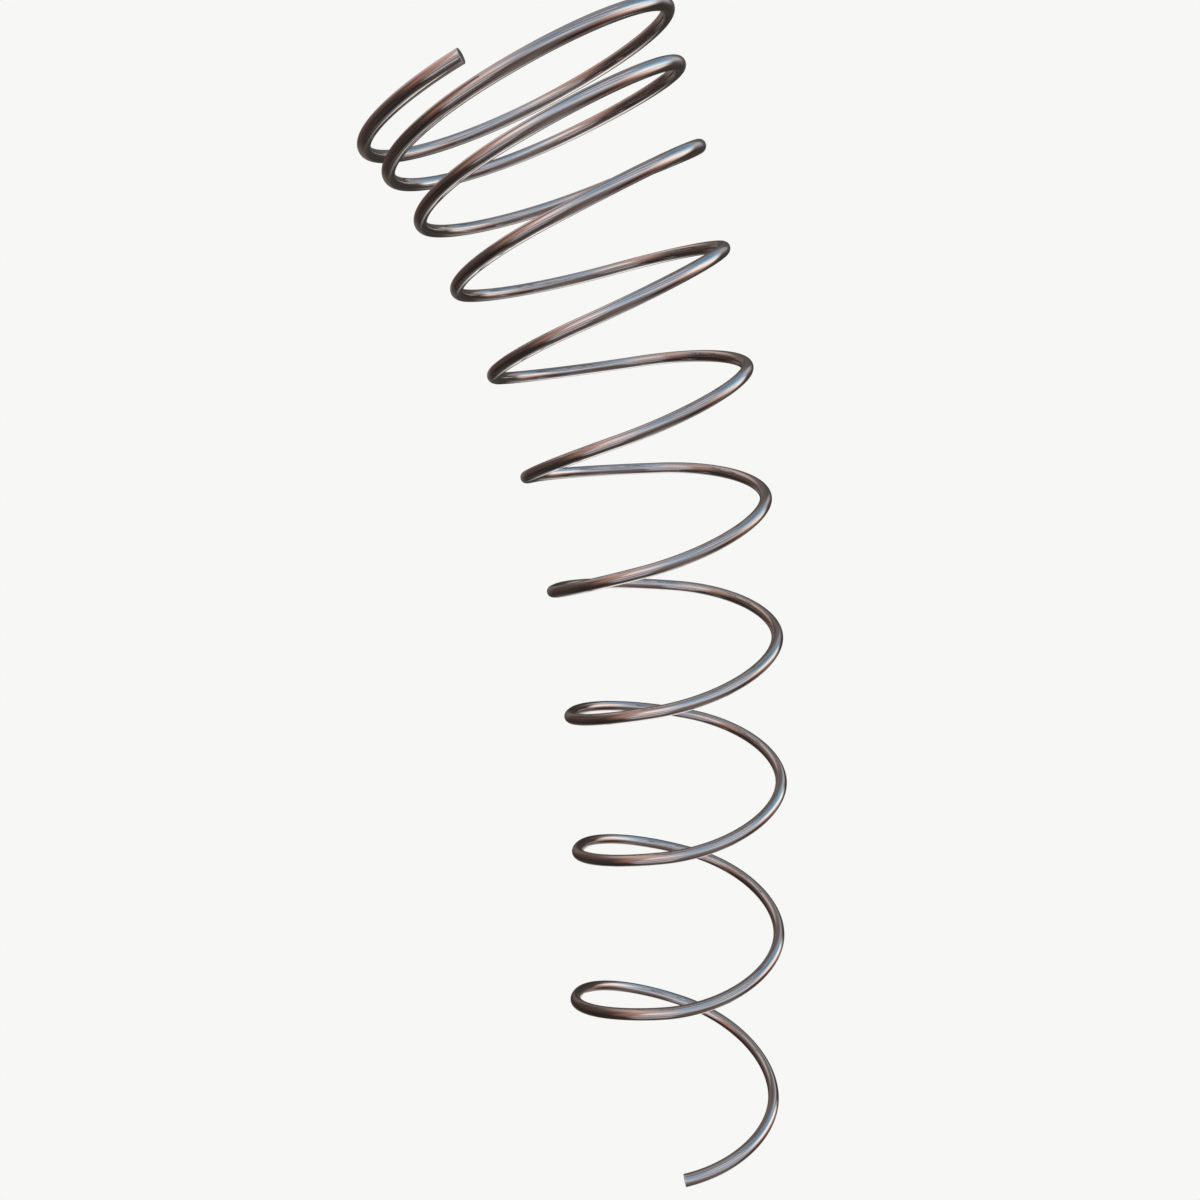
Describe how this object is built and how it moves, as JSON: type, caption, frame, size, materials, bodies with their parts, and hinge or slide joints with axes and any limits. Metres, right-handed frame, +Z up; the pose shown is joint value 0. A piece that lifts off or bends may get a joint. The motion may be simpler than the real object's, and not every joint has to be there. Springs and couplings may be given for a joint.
{
  "type": "spring coil toy",
  "caption": "Round polished wire wound into an open spring coil, stretched tall and curling over towards its wider top.",
  "frame": {"origin": "centre of the wire's lower end face", "axes": "+Z up along the axis of the lowest coil, +X to the right where the first cut is, +Y to the back"},
  "size_m": [0.0976, 0.1149, 0.2555],
  "materials": {
    "spring_wire": "polished spring steel wire"
  },
  "bodies": {
    "lower_end": {"lower_end": "spring_wire"},
    "coil_01_back_right": {"coil_01_back_right": "spring_wire"},
    "coil_01_back_left": {"coil_01_back_left": "spring_wire"},
    "coil_01_front_left": {"coil_01_front_left": "spring_wire"},
    "coil_01_front_right": {"coil_01_front_right": "spring_wire"},
    "coil_02_back_right": {"coil_02_back_right": "spring_wire"},
    "coil_02_back_left": {"coil_02_back_left": "spring_wire"},
    "coil_02_front_left": {"coil_02_front_left": "spring_wire"},
    "coil_02_front_right": {"coil_02_front_right": "spring_wire"},
    "coil_03_back_right": {"coil_03_back_right": "spring_wire"},
    "coil_03_back_left": {"coil_03_back_left": "spring_wire"},
    "coil_03_front_left": {"coil_03_front_left": "spring_wire"},
    "coil_03_front_right": {"coil_03_front_right": "spring_wire"},
    "coil_04_back_right": {"coil_04_back_right": "spring_wire"},
    "coil_04_back_left": {"coil_04_back_left": "spring_wire"},
    "coil_04_front_left": {"coil_04_front_left": "spring_wire"},
    "coil_04_front_right": {"coil_04_front_right": "spring_wire"},
    "coil_05_back_right": {"coil_05_back_right": "spring_wire"},
    "coil_05_back_left": {"coil_05_back_left": "spring_wire"},
    "coil_05_front_left": {"coil_05_front_left": "spring_wire"},
    "coil_05_front_right": {"coil_05_front_right": "spring_wire"},
    "coil_06_back_right": {"coil_06_back_right": "spring_wire"},
    "coil_06_back_left": {"coil_06_back_left": "spring_wire"},
    "coil_06_front_left": {"coil_06_front_left": "spring_wire"},
    "coil_06_front_right": {"coil_06_front_right": "spring_wire"},
    "coil_07_back_right": {"coil_07_back_right": "spring_wire"},
    "coil_07_back_left": {"coil_07_back_left": "spring_wire"},
    "coil_07_front_left": {"coil_07_front_left": "spring_wire"},
    "coil_07_front_right": {"coil_07_front_right": "spring_wire"},
    "coil_08_back_right": {"coil_08_back_right": "spring_wire"},
    "coil_08_back_left": {"coil_08_back_left": "spring_wire"},
    "coil_08_front_left": {"coil_08_front_left": "spring_wire"},
    "coil_08_front_right": {"coil_08_front_right": "spring_wire"},
    "coil_09_back_right": {"coil_09_back_right": "spring_wire"},
    "coil_09_back_left": {"coil_09_back_left": "spring_wire"},
    "coil_09_front_left": {"coil_09_front_left": "spring_wire"},
    "coil_09_front_right": {"coil_09_front_right": "spring_wire"},
    "coil_10_back_right": {"coil_10_back_right": "spring_wire"},
    "coil_10_back_left": {"coil_10_back_left": "spring_wire"},
    "upper_end": {"upper_end": "spring_wire"}
  },
  "joints": [
    {"name": "twist_right_01", "type": "hinge", "parent": "lower_end", "child": "coil_01_back_right", "pos_m": [0.01895, 0.02453, 0.00918], "axis": [0, 0.9784, 0.2066], "range_deg": [-21.75, 4.35], "stiffness_Nm_per_rad": 9.6},
    {"name": "twist_back_01", "type": "hinge", "parent": "coil_01_back_right", "child": "coil_01_back_left", "pos_m": [-0.00647, 0.04977, 0.01988], "axis": [-0.9787, -0.0066, 0.2052], "range_deg": [-18.02, 3.6], "stiffness_Nm_per_rad": 9.6},
    {"name": "twist_left_01", "type": "hinge", "parent": "coil_01_back_left", "child": "coil_01_front_left", "pos_m": [-0.03177, 0.02401, 0.02883], "axis": [-0.0002, -0.99, 0.1412], "range_deg": [-21.52, 4.3], "stiffness_Nm_per_rad": 9.6},
    {"name": "twist_front_01", "type": "hinge", "parent": "coil_01_front_left", "child": "coil_01_front_right", "pos_m": [-0.00685, -0.00165, 0.03759], "axis": [0.979, -0.0178, 0.203], "range_deg": [-23.74, 4.75], "stiffness_Nm_per_rad": 9.6},
    {"name": "twist_right_02", "type": "hinge", "parent": "coil_01_front_right", "child": "coil_02_back_right", "pos_m": [0.01801, 0.02215, 0.05051], "axis": [-0.0025, 0.9525, 0.3046], "range_deg": [-19.57, 3.92], "stiffness_Nm_per_rad": 9.6},
    {"name": "twist_back_02", "type": "hinge", "parent": "coil_02_back_right", "child": "coil_02_back_left", "pos_m": [-0.00733, 0.04597, 0.06267], "axis": [-0.9853, -0.0239, 0.1694], "range_deg": [-17.35, 3.47], "stiffness_Nm_per_rad": 9.6},
    {"name": "twist_left_02", "type": "hinge", "parent": "coil_02_back_left", "child": "coil_02_front_left", "pos_m": [-0.03262, 0.01983, 0.06771], "axis": [-0.0046, -0.9996, 0.0278], "range_deg": [-20.64, 4.13], "stiffness_Nm_per_rad": 9.6},
    {"name": "twist_front_02", "type": "hinge", "parent": "coil_02_front_left", "child": "coil_02_front_right", "pos_m": [-0.00804, -0.00646, 0.07394], "axis": [0.9751, -0.0384, 0.2184], "range_deg": [-21.31, 4.26], "stiffness_Nm_per_rad": 9.6},
    {"name": "twist_right_03", "type": "hinge", "parent": "coil_02_front_right", "child": "coil_03_back_right", "pos_m": [0.01648, 0.0162, 0.08891], "axis": [-0.0114, 0.929, 0.37], "range_deg": [-17.21, 3.44], "stiffness_Nm_per_rad": 9.6},
    {"name": "twist_back_03", "type": "hinge", "parent": "coil_03_back_right", "child": "coil_03_back_left", "pos_m": [-0.00929, 0.03932, 0.10114], "axis": [-0.9939, -0.0269, 0.1073], "range_deg": [-16.2, 3.24], "stiffness_Nm_per_rad": 9.6},
    {"name": "twist_left_03", "type": "hinge", "parent": "coil_03_back_left", "child": "coil_03_front_left", "pos_m": [-0.03493, 0.01313, 0.10226], "axis": [-0.0091, -0.9979, -0.0636], "range_deg": [-19.21, 3.84], "stiffness_Nm_per_rad": 9.6},
    {"name": "twist_front_03", "type": "hinge", "parent": "coil_03_front_left", "child": "coil_03_front_right", "pos_m": [-0.01052, -0.01377, 0.10698], "axis": [0.9669, -0.0576, 0.2487], "range_deg": [-18.68, 3.74], "stiffness_Nm_per_rad": 9.6},
    {"name": "twist_right_04", "type": "hinge", "parent": "coil_03_front_right", "child": "coil_04_back_right", "pos_m": [0.01372, 0.00819, 0.12388], "axis": [-0.0239, 0.9122, 0.409], "range_deg": [-14.74, 2.95], "stiffness_Nm_per_rad": 9.6},
    {"name": "twist_back_04", "type": "hinge", "parent": "coil_04_back_right", "child": "coil_04_back_left", "pos_m": [-0.01279, 0.03139, 0.1352], "axis": [-0.9995, -0.0163, 0.0282], "range_deg": [-14.62, 2.93], "stiffness_Nm_per_rad": 9.6},
    {"name": "twist_left_04", "type": "hinge", "parent": "coil_04_back_left", "child": "coil_04_front_left", "pos_m": [-0.03896, 0.00533, 0.1324], "axis": [-0.0116, -0.9906, -0.1363], "range_deg": [-17.3, 3.46], "stiffness_Nm_per_rad": 9.6},
    {"name": "twist_front_04", "type": "hinge", "parent": "coil_04_front_left", "child": "coil_04_front_right", "pos_m": [-0.01451, -0.02235, 0.13633], "axis": [0.9546, -0.0768, 0.2877], "range_deg": [-15.92, 3.19], "stiffness_Nm_per_rad": 9.6},
    {"name": "twist_right_05", "type": "hinge", "parent": "coil_04_front_right", "child": "coil_05_back_right", "pos_m": [0.00956, -0.00068, 0.15508], "axis": [-0.0364, 0.9032, 0.4277], "range_deg": [-12.22, 2.45], "stiffness_Nm_per_rad": 9.6},
    {"name": "twist_back_05", "type": "hinge", "parent": "coil_05_back_right", "child": "coil_05_back_left", "pos_m": [-0.01779, 0.02333, 0.16482], "axis": [-0.9982, 0.0048, -0.0596], "range_deg": [-12.68, 2.54], "stiffness_Nm_per_rad": 9.6},
    {"name": "twist_left_05", "type": "hinge", "parent": "coil_05_back_left", "child": "coil_05_front_left", "pos_m": [-0.04456, -0.00254, 0.15809], "axis": [-0.0115, -0.9809, -0.1941], "range_deg": [-14.99, 3], "stiffness_Nm_per_rad": 9.4},
    {"name": "twist_front_05", "type": "hinge", "parent": "coil_05_front_left", "child": "coil_05_front_right", "pos_m": [-0.01982, -0.03123, 0.16169], "axis": [0.9394, -0.0954, 0.3294], "range_deg": [-13.11, 2.62], "stiffness_Nm_per_rad": 8.4},
    {"name": "twist_right_06", "type": "hinge", "parent": "coil_05_front_right", "child": "coil_06_back_right", "pos_m": [0.00429, -0.00949, 0.18224], "axis": [-0.0461, 0.9007, 0.4319], "range_deg": [-9.74, 1.95], "stiffness_Nm_per_rad": 7.8},
    {"name": "twist_back_06", "type": "hinge", "parent": "coil_06_back_right", "child": "coil_06_back_left", "pos_m": [-0.02392, 0.01594, 0.18998], "axis": [-0.9885, 0.0319, -0.148], "range_deg": [-10.47, 2.1], "stiffness_Nm_per_rad": 6.2},
    {"name": "twist_left_06", "type": "hinge", "parent": "coil_06_back_left", "child": "coil_06_front_left", "pos_m": [-0.05125, -0.0098, 0.17933], "axis": [-0.0083, -0.9706, -0.2407], "range_deg": [-12.35, 2.47], "stiffness_Nm_per_rad": 4.9},
    {"name": "twist_front_06", "type": "hinge", "parent": "coil_06_front_left", "child": "coil_06_front_right", "pos_m": [-0.02595, -0.03974, 0.18285], "axis": [0.923, -0.1123, 0.368], "range_deg": [-10.32, 2.07], "stiffness_Nm_per_rad": 4.4},
    {"name": "twist_right_07", "type": "hinge", "parent": "coil_06_front_right", "child": "coil_07_back_right", "pos_m": [-0.00152, -0.01759, 0.20514], "axis": [-0.0516, 0.9026, 0.4273], "range_deg": [-7.39, 1.48], "stiffness_Nm_per_rad": 4.1},
    {"name": "twist_back_07", "type": "hinge", "parent": "coil_07_back_right", "child": "coil_07_back_left", "pos_m": [-0.03053, 0.00971, 0.21076], "axis": [-0.9715, 0.0602, -0.2293], "range_deg": [-8.07, 1.62], "stiffness_Nm_per_rad": 3.3},
    {"name": "twist_left_07", "type": "hinge", "parent": "coil_07_back_left", "child": "coil_07_front_left", "pos_m": [-0.05837, -0.01602, 0.19621], "axis": [-0.0019, -0.9602, -0.2794], "range_deg": [-9.48, 1.9], "stiffness_Nm_per_rad": 2.6},
    {"name": "twist_front_07", "type": "hinge", "parent": "coil_07_front_left", "child": "coil_07_front_right", "pos_m": [-0.03215, -0.04742, 0.19965], "axis": [0.9086, -0.1257, 0.3982], "range_deg": [-7.66, 1.53], "stiffness_Nm_per_rad": 2.4},
    {"name": "twist_right_08", "type": "hinge", "parent": "coil_07_front_right", "child": "coil_08_back_right", "pos_m": [-0.00705, -0.02453, 0.22362], "axis": [-0.053, 0.9064, 0.4191], "range_deg": [-5.23, 1.05], "stiffness_Nm_per_rad": 2.3},
    {"name": "twist_back_08", "type": "hinge", "parent": "coil_08_back_right", "child": "coil_08_back_left", "pos_m": [-0.03688, 0.00494, 0.22725], "axis": [-0.951, 0.0856, -0.297], "range_deg": [-5.57, 1.12], "stiffness_Nm_per_rad": 1.9},
    {"name": "twist_left_08", "type": "hinge", "parent": "coil_08_back_left", "child": "coil_08_front_left", "pos_m": [-0.06522, -0.02102, 0.20889], "axis": [0.0081, -0.9495, -0.3137], "range_deg": [-6.46, 1.29], "stiffness_Nm_per_rad": 1.5},
    {"name": "twist_front_08", "type": "hinge", "parent": "coil_08_front_left", "child": "coil_08_front_right", "pos_m": [-0.03759, -0.05399, 0.21198], "axis": [0.8998, -0.1338, 0.4152], "range_deg": [-5.18, 1.04], "stiffness_Nm_per_rad": 1.5},
    {"name": "twist_right_09", "type": "hinge", "parent": "coil_08_front_right", "child": "coil_09_back_right", "pos_m": [-0.01141, -0.03003, 0.23753], "axis": [-0.0522, 0.9097, 0.4121], "range_deg": [-3.36, 0.67], "stiffness_Nm_per_rad": 1.4},
    {"name": "twist_back_09", "type": "hinge", "parent": "coil_09_back_right", "child": "coil_09_back_left", "pos_m": [-0.04226, 0.00175, 0.23963], "axis": [-0.9327, 0.1046, -0.3451], "range_deg": [-3.03, 0.61], "stiffness_Nm_per_rad": 1.1},
    {"name": "twist_left_09", "type": "hinge", "parent": "coil_09_back_left", "child": "coil_09_front_left", "pos_m": [-0.0712, -0.02471, 0.21763], "axis": [0.0218, -0.9375, -0.3474], "range_deg": [-3.34, 0.67], "stiffness_Nm_per_rad": 0.77},
    {"name": "twist_front_09", "type": "hinge", "parent": "coil_09_front_left", "child": "coil_09_front_right", "pos_m": [-0.04149, -0.05924, 0.21978], "axis": [0.9003, -0.1342, 0.4141], "range_deg": [-2.96, 0.59], "stiffness_Nm_per_rad": 0.77},
    {"name": "twist_right_10", "type": "hinge", "parent": "coil_09_front_right", "child": "coil_10_back_right", "pos_m": [-0.01374, -0.03385, 0.24674], "axis": [-0.0518, 0.9105, 0.4102], "range_deg": [-1.81, 0.36], "stiffness_Nm_per_rad": 0.77},
    {"name": "twist_back_10", "type": "hinge", "parent": "coil_10_back_right", "child": "coil_10_back_left", "pos_m": [-0.0461, 0.00019, 0.24812], "axis": [-0.9225, 0.1141, -0.3687], "range_deg": [-0.503, 0.102], "stiffness_Nm_per_rad": 0.4},
    {"name": "twist_left_10", "type": "hinge", "parent": "coil_10_back_left", "child": "upper_end", "pos_m": [-0.0759, -0.02708, 0.22272], "axis": [0.0393, -0.9224, -0.3843], "range_deg": [-0.176, 0.037], "stiffness_Nm_per_rad": 0.029}
  ],
  "couplings": [
    {"joint": "twist_right_02", "follows": "twist_right_01", "ratio": 0.89941},
    {"joint": "twist_back_02", "follows": "twist_back_01", "ratio": 0.96311},
    {"joint": "twist_left_02", "follows": "twist_left_01", "ratio": 0.95888},
    {"joint": "twist_front_02", "follows": "twist_front_01", "ratio": 0.8977},
    {"joint": "twist_right_03", "follows": "twist_right_01", "ratio": 0.79119},
    {"joint": "twist_back_03", "follows": "twist_back_01", "ratio": 0.89924},
    {"joint": "twist_left_03", "follows": "twist_left_01", "ratio": 0.89253},
    {"joint": "twist_front_03", "follows": "twist_front_01", "ratio": 0.78699},
    {"joint": "twist_right_04", "follows": "twist_right_01", "ratio": 0.6776},
    {"joint": "twist_back_04", "follows": "twist_back_01", "ratio": 0.81143},
    {"joint": "twist_left_04", "follows": "twist_left_01", "ratio": 0.80376},
    {"joint": "twist_front_04", "follows": "twist_front_01", "ratio": 0.67061},
    {"joint": "twist_right_05", "follows": "twist_right_01", "ratio": 0.56188},
    {"joint": "twist_back_05", "follows": "twist_back_01", "ratio": 0.70382},
    {"joint": "twist_left_05", "follows": "twist_left_01", "ratio": 0.69617},
    {"joint": "twist_front_05", "follows": "twist_front_01", "ratio": 0.55197},
    {"joint": "twist_right_06", "follows": "twist_right_01", "ratio": 0.44783},
    {"joint": "twist_back_06", "follows": "twist_back_01", "ratio": 0.58113},
    {"joint": "twist_left_06", "follows": "twist_left_01", "ratio": 0.57377},
    {"joint": "twist_front_06", "follows": "twist_front_01", "ratio": 0.43474},
    {"joint": "twist_right_07", "follows": "twist_right_01", "ratio": 0.33947},
    {"joint": "twist_back_07", "follows": "twist_back_01", "ratio": 0.44814},
    {"joint": "twist_left_07", "follows": "twist_left_01", "ratio": 0.44055},
    {"joint": "twist_front_07", "follows": "twist_front_01", "ratio": 0.32245},
    {"joint": "twist_right_08", "follows": "twist_right_01", "ratio": 0.24056},
    {"joint": "twist_back_08", "follows": "twist_back_01", "ratio": 0.30929},
    {"joint": "twist_left_08", "follows": "twist_left_01", "ratio": 0.30005},
    {"joint": "twist_front_08", "follows": "twist_front_01", "ratio": 0.21819},
    {"joint": "twist_right_09", "follows": "twist_right_01", "ratio": 0.15432},
    {"joint": "twist_back_09", "follows": "twist_back_01", "ratio": 0.16824},
    {"joint": "twist_left_09", "follows": "twist_left_01", "ratio": 0.15519},
    {"joint": "twist_front_09", "follows": "twist_front_01", "ratio": 0.12444},
    {"joint": "twist_right_10", "follows": "twist_right_01", "ratio": 0.083254},
    {"joint": "twist_back_10", "follows": "twist_back_01", "ratio": 0.027792},
    {"joint": "twist_left_10", "follows": "twist_left_01", "ratio": 0.008087}
  ]
}
